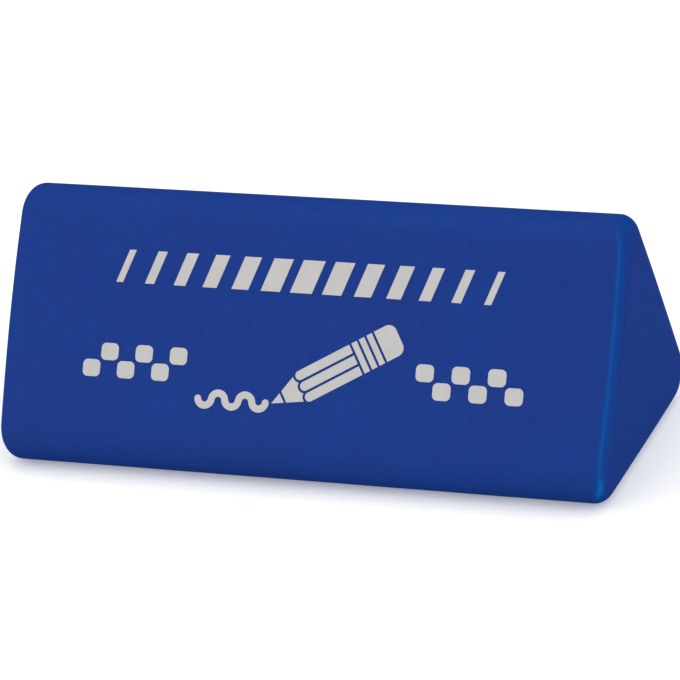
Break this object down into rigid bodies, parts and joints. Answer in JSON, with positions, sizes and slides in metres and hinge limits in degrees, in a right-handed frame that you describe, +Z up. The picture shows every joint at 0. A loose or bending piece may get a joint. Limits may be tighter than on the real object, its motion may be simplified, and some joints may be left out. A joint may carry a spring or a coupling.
{
  "type": "block eraser",
  "caption": "Three-sided block eraser for pencil marks, a soft blue bar with rounded edges and a one-colour print of checks, slanted bars and a pencil on its front face.",
  "frame": {"origin": "middle of the long face that the bar lies on, on the surface under it", "axes": "+X along the bar, to the right of someone who looks at the print; +Z up; the printed face looks towards -Y and leans back by 30 degrees"},
  "size_m": [0.045, 0.0196, 0.0177],
  "materials": {
    "eraser_compound": "matte",
    "print_ink": "matte"
  },
  "bodies": {
    "root": {"eraser_block": "eraser_compound", "check_print_left": "print_ink", "check_print_right": "print_ink", "stripe_print": "print_ink", "pencil_print": "print_ink"}
  },
  "joints": []
}
